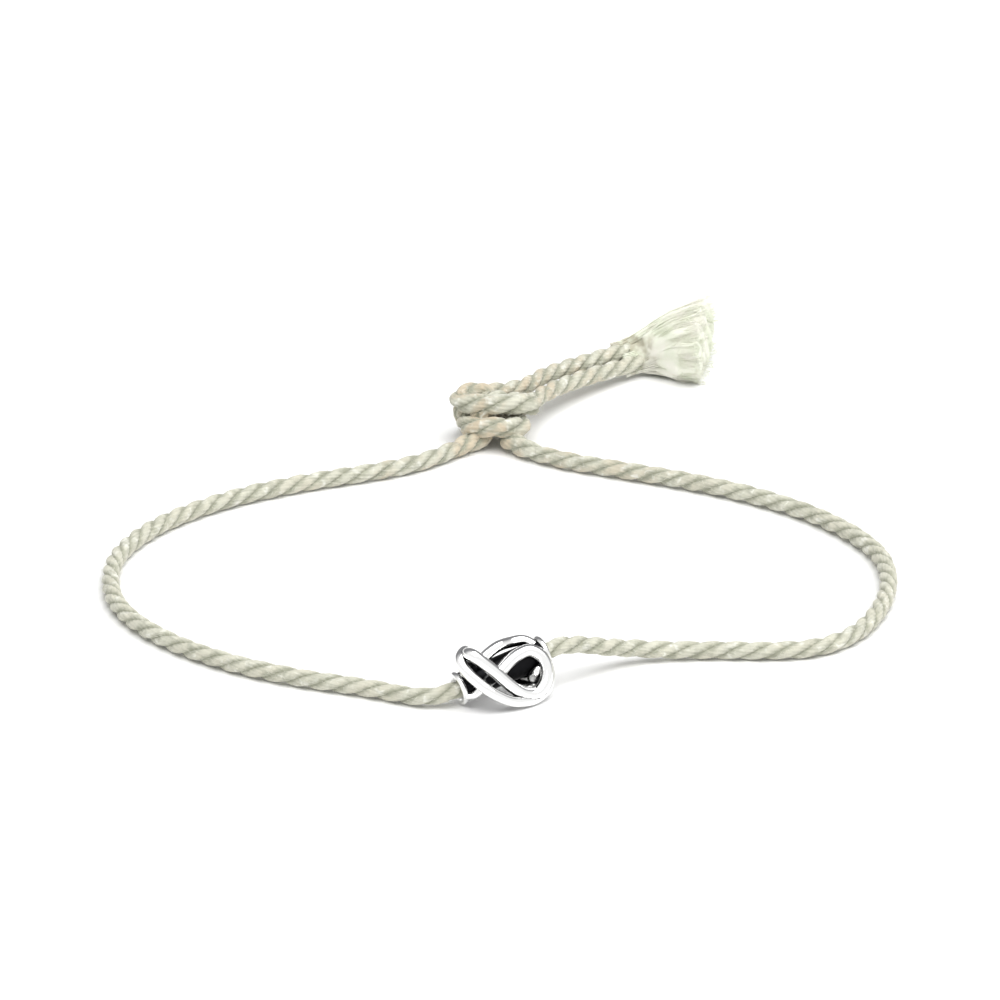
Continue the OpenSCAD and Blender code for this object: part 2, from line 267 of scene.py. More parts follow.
# Where the shade painted in a groove turns to the crown's colour, and how far mottling moves that
GROOVE_SHADE_EDGE = (0.3, 0.95)
GROOVE_SHADE_STRAY = 0.3
# Where the pale specks of painted highlight begin and end, and how strong they are
HIGHLIGHT_SPECK_EDGE = (0.56, 0.68)
HIGHLIGHT_SPECK_SHARE = 0.8
# How dark and light the fibres are, and their relief
STREAK_TONES = (0.86, 1.06)
STREAK_BUMP = 0.7
STREAK_RELIEF = 0.03 * MM
COTTON_FINISH = {
    "Roughness": 0.92, "Specular IOR Level": 0.2, "Sheen Weight": 0.25, "Sheen Roughness": 0.5
}
# Loose cotton: its patches, and where one turns to the other
SHADE_NOISE = (420.0, 3.0)
SHADE_EDGE = (0.4, 0.6)
# The stain where the fray leaves the tails: its pattern, its edge, its strength and its reach
STAIN_NOISE = (800.0, 2.0)
STAIN_EDGE = (0.45, 0.6)
STAIN_SHARE = 0.85
STAIN_REACH = 3.2 * MM
STAIN_HEART = 1.2 * MM
LOOSE_FINISH = {"Roughness": 0.9, "Specular IOR Level": 0.2, "Sheen Weight": 0.3, "Sheen Roughness": 0.5}
# Silver: its scuffs, how shut in it is where the patina starts and is full, and how far the
# scuffs move that
SCUFF_NOISE = (2200.0, 4.0)
PATINA_EDGE = (0.4, 0.56)
PATINA_STRAY = 0.06
# Roughness of the polish between its scuffs and in them, and how much the patina adds
POLISH = (0.06, 0.14)
PATINA_DULL = 0.4
SILVER_FINISH = {"Metallic": 1.0}
# Colour sockets of Blender's Mix node, by number: its two inputs and its output
MIX_A, MIX_B, MIX_RESULT = 6, 7, 2

CLIP_START = 0.1
FLOOR_RADIUS = 0.6
FLOOR_SIDES = 96
FLOOR_FINISH = {"Roughness": 0.8, "Specular IOR Level": 0.1}
# Where the tent that the metal sees turns from its pale front to its grey back
TENT_FRONT = -0.1
TENT_BACK = 0.5
HORIZON_BLUR = 0.1
# Softboxes. Columns: name, place, size along and across, and power.
SOFTBOXES = [
    ("overhead_softbox", (0.3, -0.4, 1.3), (1.9, 1.4), 26),
]


def length_prop(name, description, millimetres):
    """A size in metres that a user may change."""
    return bpy.props.FloatProperty(
        name=name, description=description, default=millimetres * MM, min=0, unit="LENGTH", precision=5
    )


def angle_prop(name, description, degrees):
    """An angle that a user may change."""
    return bpy.props.FloatProperty(
        name=name, description=description, default=math.radians(degrees), subtype="ANGLE", unit="ROTATION"
    )


def colour_prop(name, description, colour):
    """A linear colour that a user may change."""
    return bpy.props.FloatVectorProperty(
        name=name, description=description, default=colour, subtype="COLOR", size=3, min=0, max=1
    )


def share_prop(name, description, share):
    """A plain number that a user may change."""
    return bpy.props.FloatProperty(name=name, description=description, default=share)


class CordSizes(bpy.types.PropertyGroup):
    """Twisted cotton cord"""

    cord_d: length_prop("Cord", "Thickness of the twisted cord", 1.6)
    core_d: length_prop("Core", "Thickness of the cord without its fuzz", 1.48)
    ply_d: length_prop("Ply", "Thickness of one of the three plies", 0.86)
    lay: length_prop("Lay", "Length of cord in which a ply goes round once", 6.1)
    yarns: bpy.props.IntProperty(name="Yarns", description="Yarns round a ply", default=8, min=3)
    yarn_lay: length_prop("Yarn lay", "Length of ply in which a yarn goes round once", 5.0)
    tail_spread: share_prop("Tail pair", "Distance from the tails' middle to each, in cord radii", 0.96)
    knot_spread: share_prop("Knot pair", "Distance from the pair's middle to each cord in the knot", 1.25)
    knot_swell: share_prop("Swell", "Thickness in the knot, where the plies open, against the cord", 1.2)
    cream: colour_prop("Cream", "Cotton in the light", (0.645, 0.64, 0.535))
    # The groove colour is shade painted between the plies
    groove: colour_prop("Groove", "Cotton between the plies", (0.38, 0.385, 0.30))
    # The pale colour is the loose fibres' own colour, and on the cord the colour of specks of painted
    # highlight
    pale: colour_prop("Pale", "Specks of bleached cotton", (0.84, 0.84, 0.76))
    blush: colour_prop("Blush", "Warmer cotton, most of it near the knot", (0.62, 0.53, 0.39))


class FuzzSizes(bpy.types.PropertyGroup):
    """Loose fibres that stand out of the cord"""

    hair_d: length_prop("Hair", "Thickness of a loose fibre", 0.018)
    hair_l: length_prop("Length", "Length of a long loose fibre", 0.7)
    hairs: bpy.props.FloatProperty(
        name="Hairs", description="Loose fibres on each millimetre of cord", default=34, min=0
    )


class TasselSizes(bpy.types.PropertyGroup):
    """Frayed ends of the two tails"""

    length: length_prop("Length", "Length of the fray past the tails", 6.8)
    radius: length_prop("Radius", "Reach of the outer locks from the middle at the cut end", 2.7)
    spread: share_prop("Spread", "Spread along the table against the height", 1.35)
    heading: angle_prop("Heading", "Turn of the fray on the table", 5)
    rise: angle_prop("Rise", "Rise of the fray off the table", 10)
    fibre_d: length_prop("Fibre", "Thickness of a fibre", 0.08)
    wisp_d: length_prop("Wisp", "Thickness of a stray fibre", 0.03)
    fibres: bpy.props.IntProperty(name="Fibres", description="Fibres in each lock", default=120, min=1)
    wisps: bpy.props.IntProperty(
        name="Wisps", description="Stray fibres on each outer lock", default=130, min=1
    )
    cotton: colour_prop("Cotton", "Frayed cotton", (0.90, 0.89, 0.80))
    shade: colour_prop("Shade", "Greener cotton in patches", (0.81, 0.84, 0.70))
    stain: colour_prop("Stain", "Cotton where the fray leaves the tails", (0.50, 0.47, 0.36))


class CharmSizes(bpy.types.PropertyGroup):
    """Cast silver love knot and the sleeve that it is fused to"""

    inner_wire_d: length_prop("Inner wire", "Thickness of the inner wire", 1.05)
    outer_wire_d: length_prop("Outer wire", "Thickness of the outer wire", 0.9)
    bore_clearance: length_prop("Clearance", "Clearance round the cord in the sleeve", 0.12)
    sleeve_wall: length_prop("Wall", "Wall of the sleeve", 0.28)
    sleeve_l: length_prop("Sleeve", "Length of the sleeve", 8.1)
    collar_r: length_prop("Collar", "Radius of the bead round each end of the sleeve", 0.25)
    yaw: angle_prop("Yaw", "Turn of the charm on the table", 27)
    rise: angle_prop("Rise", "Rise of its right end", 13)
    lean: angle_prop("Lean", "Lean of its face", 29)
    silver: colour_prop("Silver", "Polished silver", (0.93, 0.93, 0.92))
    patina: colour_prop("Patina", "Blackened silver in the recesses", (0.012, 0.012, 0.013))


class StageSizes(bpy.types.PropertyGroup):
    """Camera, floor and lights"""

    elevation: angle_prop("Elevation", "Camera's angle above the table", 22)
    distance: bpy.props.FloatProperty(
        name="Distance", description="Camera's distance from the loop's middle", default=1.2, unit="LENGTH"
    )
    width: length_prop("Width", "What the picture is wide at the loop's middle", 81.2)
    drop: length_prop("Drop", "How far the loop's middle lies below the picture's middle", 6.5)
    floor: colour_prop("Floor", "Plain pale floor", (0.96, 0.96, 0.96))
    world: colour_prop("Room", "Light of the room", (0.5, 0.5, 0.5))
    tent: colour_prop("Tent", "The room's pale walls, as the camera and the metal see them", (1.0, 1.0, 1.0))
    tent_back: colour_prop("Tent's back", "Back of the room, as the metal sees it", (0.25, 0.25, 0.26))


SIZES = {
    "bracelet_cord": CordSizes,
    "bracelet_fuzz": FuzzSizes,
    "bracelet_tassel": TasselSizes,
    "bracelet_charm": CharmSizes,
    "bracelet_stage": StageSizes,
}


def unit(rows):
    """Directions of length 1."""
    rows = np.asarray(rows, float)
    return rows / np.linalg.norm(rows, axis=-1, keepdims=True)


def pointing(yaw, rise):
    """Direction turned by yaw on the table and raised by rise."""
    return np.array((math.cos(rise) * math.cos(yaw), math.cos(rise) * math.sin(yaw), math.sin(rise)))


def smooth_curve(points, steps):
    """A smooth curve through all the points, with so many steps from each to the next."""
    p = np.asarray(points, float)
    ends = np.vstack([p[:1], p, p[-1:]])
    a, b, c, d = (ends[k:len(p) - 1 + k] for k in range(4))
    slope, bend, turn = c - a, 2 * a - 5 * b + 4 * c - d, 3 * b - a - 3 * c + d
    parts = [b + (slope * t + bend * t * t + turn * t ** 3) / 2 for t in np.arange(steps) / steps]
    return np.vstack([np.stack(parts, axis=1).reshape(-1, 3), p[-1:]])


def distance_along(points):
    """Distance from the first point to each point."""
    return np.concatenate([[0], np.cumsum(np.linalg.norm(np.diff(points, axis=0), axis=1))])


def even_steps(points, spacing):
    """The same curve with evenly spaced points."""
    along = distance_along(points)
    count = max(2, round(along[-1] / spacing) + 1)
    at = np.linspace(0, along[-1], count)
    return np.stack([np.interp(at, along, points[:, k]) for k in range(3)], axis=1)


def relaxed(points, rounds):
    """The same curve with its tightest bends eased."""
    points = points.copy()
    for _ in range(rounds):
        points[1:-1] += (points[:-2] + points[2:] - 2 * points[1:-1]) / 4
    return points


def frames_along(points):
    """Tangent, side and up at each point of a curve, with no twist of their own."""
    tangents = unit(np.gradient(points, axis=0))
    side = np.cross(tangents[0], (0, 0, 1))
    sides = []
    for tangent in tangents:
        side = side - tangent * (side @ tangent)
        side = side / np.linalg.norm(side)
        sides.append(side)
    sides = np.array(sides)
    return tangents, sides, np.cross(tangents, sides)


@dataclass
class CordPath:
    """The middle of the whole cord from the lower tail's end to the upper tail's."""

    points: np.ndarray
    along: np.ndarray
    tangents: np.ndarray
    sides: np.ndarray
    ups: np.ndarray
    swell: np.ndarray
    marks: list


def beside(rows, offset, cord):
    """One cord of a pair, to the side of its middle by so many cord radii.

    The side is positive for the cord from the left of the loop and negative for the other.
    """
    rows = np.array(rows)
    radius = cord.cord_d / 2
    return rows[:, :3] + (0, 0, radius) + offset * radius * unit(rows[:, 3:])


def whole_cord(scene):
    """The cord's path. Its marks are where the tails, the knot and the loop begin and end."""
    cord, charm = scene.bracelet_cord, scene.bracelet_charm
    radius = cord.cord_d / 2
    lift = np.array((0, 0, radius))
    axis = pointing(charm.yaw, charm.rise)
    middle = np.array(CHARM_AT) + lift
    parts = [
        beside(TAIL_ROUTE, cord.tail_spread, cord)[::-1],
        beside(PAIR_ROUTE, cord.knot_spread, cord)[::-1],
        np.array(LEFT_LEAD) + lift,
        np.array(LEFT_ROUTE) + lift,
        np.array([middle + share * charm.sleeve_l / 2 * axis for share in STRAIGHT_AT]),
        np.array(RIGHT_ROUTE) + lift,
        np.array(RIGHT_LEAD) + lift,
        beside(PAIR_ROUTE, -cord.knot_spread, cord),
        beside(TAIL_ROUTE, -cord.tail_spread, cord),
    ]
    control = np.vstack(parts)
    tail = len(TAIL_ROUTE)
    loop = tail + len(PAIR_ROUTE) + len(LEFT_LEAD)
    at = [0, tail, loop, len(control) - 1 - loop, len(control) - 1 - tail, len(control) - 1]
    points = relaxed(even_steps(smooth_curve(control, CURVE_STEPS), PATH_STEP), PATH_RELAX)
    marks = [int(np.argmin(np.linalg.norm(points - control[k], axis=1))) for k in at]
    along = distance_along(points)
    swell = knot_swell(along, marks, cord)
    points[:, 2] = np.maximum(points[:, 2], radius * swell)
    return CordPath(points, along, *frames_along(points), swell, marks)


def knot_swell(along, marks, cord):
    """Thickness of the cord against its straight stretches: it swells in the knot."""
    swell = np.ones(len(along))
    for first, last in ((marks[1], marks[2]), (marks[3], marks[4])):
        inside = np.minimum(along - along[first], along[last] - along) / SWELL_RUN
        swell += (cord.knot_swell - 1) * np.clip(inside, 0, 1)
    return swell


def waver(along, length, seed):
    """Smooth noise from -1 to 1 along a length."""
    return np.array([noise.noise((s / length, seed, 0.5)) for s in along])


def ply_lines(path, first, last, every, cord):
    """Middle line, radii and turns of each ply of a stretch, with a ring at every so many points."""
    at = np.unique(np.append(np.arange(first, last, every), last))
    along = path.along[at]
    radius = cord.ply_d / 2 * path.swell[at]
    offset = ((cord.core_d - cord.ply_d) / 2 * path.swell[at])[:, None]
    turn = -2 * math.pi * along / cord.lay + TWIST_WAVER * waver(along, WAVER_LENGTH, TWIST_SEED)
    lines = []
    for ply in range(PLIES):
        phase = (turn + 2 * math.pi * ply / PLIES)[:, None]
        swell = 1 + PLY_SWELL * waver(along, SWELL_LENGTH, SWELL_SEED + ply)
        line = path.points[at] + offset * (np.cos(phase) * path.sides[at] + np.sin(phase) * path.ups[at])
        line[:, 2] = np.maximum(line[:, 2], radius * swell)
        lines.append((line, radius * swell, 2 * math.pi * along / cord.yarn_lay))
    return lines


def new_curve(name, strands, closed=False):
    """A curve object with one line for each strand, which is its points, radii and turns."""
    curve = bpy.data.curves.new(name, "CURVE")
    curve.dimensions = "3D"
    for points, radii, turns in strands:
        spline = curve.splines.new("POLY")
        spline.points.add(len(points) - 1)
        spline.points.foreach_set("co", np.column_stack([points, np.ones(len(points))]).ravel())
        spline.points.foreach_set("radius", np.broadcast_to(radii, len(points)).astype(float))
        spline.points.foreach_set("tilt", np.broadcast_to(turns, len(points)).astype(float))
        spline.use_cyclic_u = closed
    return bpy.data.objects.new(name, curve)


def tube_mesh(name, strands, sides=4, section=None):
    """A mesh with a closed tube round each strand, of that many sides or of a section of radius 1."""
    holder = new_curve(name, strands)
    curve = holder.data
    curve.use_fill_caps = True
    if section:
        curve.bevel_mode = "OBJECT"
        curve.bevel_object = section
    else:
        curve.bevel_depth = 1
        curve.bevel_resolution = (sides - 4) // 2
    bpy.context.scene.collection.objects.link(holder)
    graph = bpy.context.evaluated_depsgraph_get()
    mesh = bpy.data.meshes.new_from_object(holder.evaluated_get(graph), depsgraph=graph)
    bpy.data.objects.remove(holder)
    bpy.data.curves.remove(curve)
    tidy_mesh(mesh)
    return mesh


def yarn_section(cord):
    """Section of a ply of radius 1: a ring of yarns side by side."""
    count = cord.yarns * YARN_POINTS
    angles = 2 * math.pi * np.arange(count) / count
    reach = 1 - YARN_GROOVE * (1 - np.abs(np.sin(cord.yarns * angles / 2)))
    ring = np.column_stack([reach * np.cos(angles), reach * np.sin(angles), 0 * angles])
    section = new_curve("ply_section", [(ring, 1, 0)], closed=True)
    bpy.context.scene.collection.objects.link(section)
    return section


def tidy_mesh(mesh):
    """Closes seams and caps, points the faces outwards and shades them smooth."""
    bm = bmesh.new()
    bm.from_mesh(mesh)
    bmesh.ops.remove_doubles(bm, verts=bm.verts, dist=WELD)
    bmesh.ops.recalc_face_normals(bm, faces=bm.faces)
    for face in bm.faces:
        face.smooth = len(face.verts) <= 4
    bm.to_mesh(mesh)
    bm.free()


def place(scene, name, mesh, materials, slot, *nodes):
    """Makes a piece of a mesh, which rides on the bracelet and stands for the nodes named."""
    mesh.name = name
    for material in materials:
        mesh.materials.append(material)
    piece = bpy.data.objects.new(name, mesh)
    scene.collection.objects.link(piece)
    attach(piece, "root")
    if nodes:
        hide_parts(*nodes)
    return piece


def vertex_array(mesh):
    """Places of a mesh's vertices."""
    places = np.zeros(len(mesh.vertices) * 3)
    mesh.vertices.foreach_get("co", places)
    return places.reshape(-1, 3)


def store(mesh, name, values):
    """Keeps a number for each vertex, which a material reads."""
    attribute = mesh.attributes.new(name, "FLOAT", "POINT")
    attribute.data.foreach_set("value", np.asarray(values, np.float32))


def groove_depth(mesh, path, cord):
    """Keeps how far each vertex lies from the cord's middle, 0 in a groove and 1 on a ply's crown, for the
    painted groove shade.
    """
    tree = kdtree.KDTree(len(path.points))
    for index, point in enumerate(path.points):
        tree.insert(point, index)
    tree.balance()
    found = [tree.find(place) for place in vertex_array(mesh)]
    radius = cord.core_d / 2 * path.swell[[index for _, index, _ in found]]
    away = np.array([distance for _, _, distance in found])
    store(mesh, "crown", np.clip((away / radius - GROOVE_SHARE) / (1 - GROOVE_SHARE), 0, 1))


def roughen(mesh):
    """Moves the surface in and out a little, as soft yarn is uneven."""
    bm = bmesh.new()
    bm.from_mesh(mesh)
    bm.normal_update()
    for vert in bm.verts:
        vert.co += vert.normal * LUMP_HEIGHT * noise.noise(vert.co / LUMP_SIZE)
        vert.co.z = max(vert.co.z, 0)
    bm.to_mesh(mesh)
    bm.free()


def cord_piece(scene, path, name, stretches, every, *nodes):
    """A piece of twisted cord along stretches of the path, with a ring at every so many points."""
    cord = scene.bracelet_cord
    lines = [line for first, last in stretches for line in ply_lines(path, first, last, every, cord)]
    section = yarn_section(cord)
    mesh = tube_mesh(name, lines, section=section)
    bpy.data.objects.remove(section)
    mesh.uv_layers[0].name = "yarn"
    roughen(mesh)
    groove_depth(mesh, path, cord)
    return place(scene, name, mesh, [cotton_material(cord)], "cord", *nodes)


class Nodes:
    """A material's node tree, with short ways to add to it."""

    def __init__(self, name):
        self.material = bpy.data.materials.new(name)
        self.material.use_nodes = True
        self.tree = self.material.node_tree
        self.shader = self.tree.nodes["Principled BSDF"]

    @classmethod
    def of_tree(cls, tree):
        """The same for a node tree that is there already."""
        n = cls.__new__(cls)
        n.tree = tree
        return n

    def add(self, kind, inputs=(), **settings):
        """A node with its settings, and its inputs as values or as sockets."""
        node = self.tree.nodes.new("ShaderNode" + kind)
        for key, value in settings.items():
            setattr(node, key, value)
        for key, value in dict(inputs).items():
            self.feed(node.inputs[key], value)
        return node

    def feed(self, socket, value):
        """Links a socket to another, or sets its value."""
        if isinstance(value, bpy.types.NodeSocket):
            self.tree.links.new(value, socket)
        elif isinstance(value, bpy.types.Node):
            self.tree.links.new(value.outputs[0], socket)
        else:
            socket.default_value = value

    def mix(self, share, a, b, mode="MIX"):
        """Two colours mixed, as a socket."""
        node = self.tree.nodes.new("ShaderNodeMix")
        node.data_type = "RGBA"
        node.blend_type = mode
        self.feed(node.inputs[0], share)
        self.feed(node.inputs[MIX_A], a)
        self.feed(node.inputs[MIX_B], b)
        return node.outputs[MIX_RESULT]

    def noise(self, vector, scale, detail, distortion=0.0):
        """Noise from 0 to 1, with so many waves to the vector's unit."""
        inputs = {"Vector": vector, "Scale": scale, "Detail": detail, "Distortion": distortion}
        return self.add("TexNoise", inputs)

    def ramp(self, value, start, end, low=0.0, high=1.0):
        """A value between start and end spread over low to high, and held there outside them."""
        return self.add("MapRange", {"Value": value, 1: start, 2: end, 3: low, 4: high})

    def maths(self, operation, a, b):
        """Two values put together."""
        return self.add("Math", {0: a, 1: b}, operation=operation)

    def distance(self, place_on, spot):
        """Distance from a spot."""
        return self.add("VectorMath", {0: place_on, 1: spot}, operation="DISTANCE").outputs["Value"]

    def finish(self, settings):
        """Sets the shader's own sockets."""
        for name, value in settings.items():
            self.shader.inputs[name].default_value = value


def rgba(colour):
    """A colour property as a socket wants it."""
    return (*colour, 1)


def cotton_material(cord):
    """Matt twisted cotton: fibres along the yarn, painted shade between the plies, pale specks of painted
    highlight, warmer near the knot.
    """
    made = bpy.data.materials.get("twisted_cotton")
    if made:
        return made
    n = Nodes("twisted_cotton")
    place_on = n.add("TexCoord").outputs["Object"]
    yarn = n.add("UVMap", uv_map="yarn")
    fibres = n.add("Mapping", {"Vector": yarn, "Scale": STREAK_SCALE})
    streaks = n.noise(fibres, *STREAK_NOISE)
    patches = n.noise(place_on, *PATCH_NOISE)
    mottle = n.noise(place_on, *MOTTLE_NOISE)
    highlight_specks = n.noise(place_on, *HIGHLIGHT_SPECK_NOISE)
    crown = n.add("Attribute", attribute_name="crown").outputs["Fac"]
    warm = n.ramp(n.distance(place_on, KNOT_MIDDLE), WARM_REACH, WARM_HEART, *WARM_SHARES)
    blush = n.maths("MULTIPLY", warm, n.ramp(patches, *PATCH_EDGE))
    cream = n.mix(blush, rgba(cord.cream), rgba(cord.blush))
    # Painted shade: the cream turns to the groove colour where the crown is low, with mottling moving the
    # edge
    shade_stray = n.ramp(mottle, *SPREAD, -GROOVE_SHADE_STRAY, GROOVE_SHADE_STRAY)
    unshaded_share = n.ramp(n.maths("ADD", crown, shade_stray), *GROOVE_SHADE_EDGE)
    # Painted highlights: pale specks at spots of noise on the cream
    highlight_speck = n.ramp(highlight_specks, *HIGHLIGHT_SPECK_EDGE, 0.0, HIGHLIGHT_SPECK_SHARE)
    shaded_cotton = n.mix(unshaded_share, rgba(cord.groove), n.mix(highlight_speck, cream, rgba(cord.pale)))
    streak = n.ramp(streaks, *SPREAD, *STREAK_TONES)
    grey = n.add("CombineColor", {0: streak, 1: streak, 2: streak}).outputs[0]
    relief = {"Strength": STREAK_BUMP, "Distance": STREAK_RELIEF, "Height": streaks}
    n.feed(n.shader.inputs["Base Color"], n.mix(1.0, shaded_cotton, grey, "MULTIPLY"))
    n.feed(n.shader.inputs["Normal"], n.add("Bump", relief))
    n.finish(COTTON_FINISH)
    return n.material


def loose_material(name, colour, shade, stain=None):
    """Loose cotton fibres in patches of two colours, stained where the fray leaves the tails."""
    made = bpy.data.materials.get(name)
    if made:
        return made
    n = Nodes(name)
    place_on = n.add("TexCoord").outputs["Object"]
    patches = n.noise(place_on, *SHADE_NOISE)
    base = n.mix(n.ramp(patches, *SHADE_EDGE), rgba(colour), rgba(shade))
    if stain is not None:
        near = n.ramp(n.distance(place_on, STAIN_AT), STAIN_REACH, STAIN_HEART)
        spot = n.ramp(n.noise(place_on, *STAIN_NOISE), *STAIN_EDGE, 0.0, STAIN_SHARE)
        base = n.mix(n.maths("MULTIPLY", near, spot), base, rgba(stain))
    n.feed(n.shader.inputs["Base Color"], base)
    n.finish(LOOSE_FINISH)
    return n.material


def silver_material(charm):
    """Polished silver, blackened in its recesses."""
    n = Nodes("polished_silver")
    place_on = n.add("TexCoord").outputs["Object"]
    recess = n.add("Attribute", attribute_name="recess").outputs["Fac"]
    scuffs = n.noise(place_on, *SCUFF_NOISE)
    edge = n.maths("ADD", recess, n.ramp(scuffs, 0.0, 1.0, -PATINA_STRAY, PATINA_STRAY))
    black = n.ramp(edge, *PATINA_EDGE)
    dull = n.maths("MULTIPLY", black, PATINA_DULL)
    n.feed(n.shader.inputs["Base Color"], n.mix(black, rgba(charm.silver), rgba(charm.patina)))
    n.feed(n.shader.inputs["Roughness"], n.maths("ADD", n.ramp(scuffs, *SPREAD, *POLISH), dull))
    n.finish(SILVER_FINISH)
    return n.material


class BRACELET_OT_stage(bpy.types.Operator):
    """Makes the camera, the pale floor and the studio lights"""

    bl_idname = "bracelet.stage"
    bl_label = "Stage"

    def execute(self, context):
        stage = context.scene.bracelet_stage
        self.camera(context.scene, stage)
        self.floor(context.scene, stage)
        self.lights(context.scene, stage)
        return {"FINISHED"}

    def camera(self, scene, stage):
        """The photograph's view: from the front, above the table."""
        data = bpy.data.cameras.new("camera")
        camera = bpy.data.objects.new("camera", data)
        scene.collection.objects.link(camera)
        back = Vector((0, -math.cos(stage.elevation), math.sin(stage.elevation)))
        middle = Vector((0, 0, scene.bracelet_cord.cord_d / 2))
        camera.location = middle + back * stage.distance
        turned_up = math.atan(stage.drop / stage.distance)
        camera.rotation_euler = (math.pi / 2 - stage.elevation + turned_up, 0, 0)
        data.lens = data.sensor_width * stage.distance / stage.width
        data.clip_start = CLIP_START
        scene.camera = camera

    def floor(self, scene, stage):
        """A plain pale disc under the bracelet."""
        bm = bmesh.new()
        bmesh.ops.create_circle(bm, cap_ends=True, segments=FLOOR_SIDES, radius=FLOOR_RADIUS)
        mesh = bpy.data.meshes.new("floor")
        bm.to_mesh(mesh)
        bm.free()
        n = Nodes("pale_floor")
        n.shader.inputs["Base Color"].default_value = rgba(stage.floor)
        n.finish(FLOOR_FINISH)
        mesh.materials.append(n.material)
        floor = bpy.data.objects.new("floor", mesh)
        scene.collection.objects.link(floor)

    def lights(self, scene, stage):
        """Softboxes that face the bracelet, and the light of the room."""
        for name, place_at, size, watts in SOFTBOXES:
            data = bpy.data.lights.new(name, "AREA")
            data.shape = "RECTANGLE"
            data.size, data.size_y = size
            data.energy = watts
            light = bpy.data.objects.new(name, data)
            light.location = place_at
            light.rotation_euler = (-Vector(place_at)).to_track_quat("-Z", "Y").to_euler()
            scene.collection.objects.link(light)
        scene.world = self.room(stage)
        scene.view_settings.view_transform = "Standard"

    def room(self, stage):
        """A pale room, which polished metal sees as a white tent with a grey back."""
        world = bpy.data.worlds.new("room")
        world.use_nodes = True
        n = Nodes.of_tree(world.node_tree)
        way = n.add("SeparateXYZ", {"Vector": n.add("TexCoord").outputs["Generated"]})
        back = n.ramp(way.outputs["Y"], TENT_FRONT, TENT_BACK)
        above = n.ramp(way.outputs["Z"], 0.0, HORIZON_BLUR)
        seen = n.mix(n.maths("MULTIPLY", back, above), rgba(stage.tent), rgba(stage.tent_back))
        ray = n.add("LightPath").outputs
        colour = n.mix(ray["Is Glossy Ray"], rgba(stage.world), seen)
        colour = n.mix(ray["Is Camera Ray"], colour, rgba(stage.tent))
        n.feed(world.node_tree.nodes["Background"].inputs["Color"], colour)
        return world


class BRACELET_OT_loop(bpy.types.Operator):
    """Makes the loop of twisted cord"""

    bl_idname = "bracelet.loop"
    bl_label = "Loop of cord"

    def execute(self, context):
        path = whole_cord(context.scene)
        first, last = path.marks[2], path.marks[3]
        cord_piece(context.scene, path, "twisted_loop", [(first, last)], LOOP_EVERY, "loop_cord")
        return {"FINISHED"}


class BRACELET_OT_knot(bpy.types.Operator):
    """Makes the overhand knot that is tied in both ends of the cord"""

    bl_idname = "bracelet.knot"
    bl_label = "Overhand knot"

    def execute(self, context):
        path = whole_cord(context.scene)
        marks = path.marks
        stretches = [(marks[1], marks[2]), (marks[3], marks[4])]
        cord_piece(context.scene, path, "overhand_knot", stretches, KNOT_EVERY, "back_knot")
        return {"FINISHED"}


class BRACELET_OT_tails(bpy.types.Operator):
    """Makes the two tails past the knot"""

    bl_idname = "bracelet.tails"
    bl_label = "Tails"

    def execute(self, context):
        path = whole_cord(context.scene)
        marks = path.marks
        lower, upper = [(marks[0], marks[1])], [(marks[4], marks[5])]
        cord_piece(context.scene, path, "lower_tail", lower, KNOT_EVERY, "tail_lower")
        cord_piece(context.scene, path, "upper_tail", upper, KNOT_EVERY, "tail_upper")
        return {"FINISHED"}


